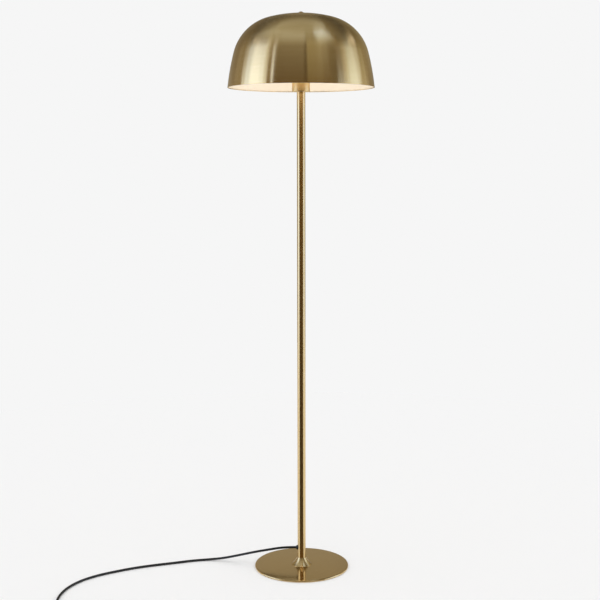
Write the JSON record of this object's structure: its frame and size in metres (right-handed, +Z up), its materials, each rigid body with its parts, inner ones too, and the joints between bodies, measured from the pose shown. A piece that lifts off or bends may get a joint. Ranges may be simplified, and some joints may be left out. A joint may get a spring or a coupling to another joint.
{
  "type": "floor lamp",
  "caption": "Mushroom floor lamp: spun dome shade on a harp over a slim sectioned pole, trumpet collar and flat round base, cord with foot switch and plug",
  "frame": {"origin": "on the floor, under the pole's axis, at the underside of the base pad", "axes": "+Z up along the pole, -Y towards the viewer of the picture, +X to the viewer's right; the cord leaves the pole towards -X"},
  "size_m": [0.7682, 0.6256, 1.4047],
  "materials": {
    "shade_metal": "spun sheet with a brushed brass finish outside and cream lacquer inside",
    "plated_steel": "steel with a brushed brass plating under clear lacquer",
    "turned_brass": "turned brass, lacquered",
    "turned_steel": "turned steel, zinc plated",
    "zinc_steel": "bright zinc plating",
    "pad": "dark foam rubber",
    "black_plastic": "moulded, fine satin grain",
    "button_plastic": "moulded, smooth",
    "cord_sheath": "extruded black sheath, low gloss",
    "holder_plastic": "moulded, heat resistant",
    "bulb_opal": "opal white coating inside clear glass",
    "bulb_metal": "rolled thread, bare",
    "bulb_insulation": "black moulded insulation",
    "pin_metal": "nickel plated"
  },
  "bodies": {
    "lamp": {"shade": "shade_metal", "base_plate": "plated_steel", "foot_flare": "plated_steel", "pole_lower": "plated_steel", "pole_middle": "plated_steel", "pole_upper": "plated_steel", "lamp_cup": "plated_steel", "shade_washer": "turned_brass", "nipple": "turned_brass", "holder_sleeve": "turned_brass", "holder_contact": "turned_brass", "pole_foot": "turned_steel", "coupler_lower": "turned_steel", "coupler_upper": "turned_steel", "thread_insert_lower": "turned_steel", "thread_insert_upper": "turned_steel", "pole_top_plug": "turned_steel", "base_bolt": "zinc_steel", "lock_nut": "zinc_steel", "harp_saddle": "zinc_steel", "harp_ferrules": "zinc_steel", "harp": "zinc_steel", "harp_stud": "zinc_steel", "switch_spring": "zinc_steel", "switch_screws": "zinc_steel", "base_pad": "pad", "cord_bush": "black_plastic", "switch_base": "black_plastic", "switch_cover": "black_plastic", "switch_reliefs": "black_plastic", "plug_body": "black_plastic", "coil_tie": "black_plastic", "cord_lead": "cord_sheath", "cord_coil": "cord_sheath", "cord_tail": "cord_sheath", "inner_cable": "cord_sheath", "holder_cap": "holder_plastic", "holder_deck": "holder_plastic", "holder_skirt": "holder_plastic", "plug_pins": "pin_metal"},
    "bulb": {"bulb_glass": "bulb_opal", "bulb_cap": "bulb_metal", "bulb_contact": "bulb_metal", "bulb_insulator": "bulb_insulation"},
    "finial": {"finial_nut": "turned_brass"},
    "foot_button": {"switch_button": "button_plastic"}
  },
  "joints": [
    {"name": "switch_press", "type": "slide", "parent": "lamp", "child": "foot_button", "axis": [0, 0, -1], "range_m": [0, 0.0025], "stiffness_N_per_m": 600, "springref_m": -0.001, "deforming": ["switch_spring"]},
    {"name": "bulb_turn", "type": "hinge", "parent": "lamp", "child": "bulb", "pos_m": [0, 0, 1.2973], "axis": [0, 0, 1], "range_deg": [0, 1080]},
    {"name": "finial_turn", "type": "hinge", "parent": "lamp", "child": "finial", "pos_m": [0, 0, 1.4], "axis": [0, 0, 1], "range_deg": [0, 1080]}
  ]
}
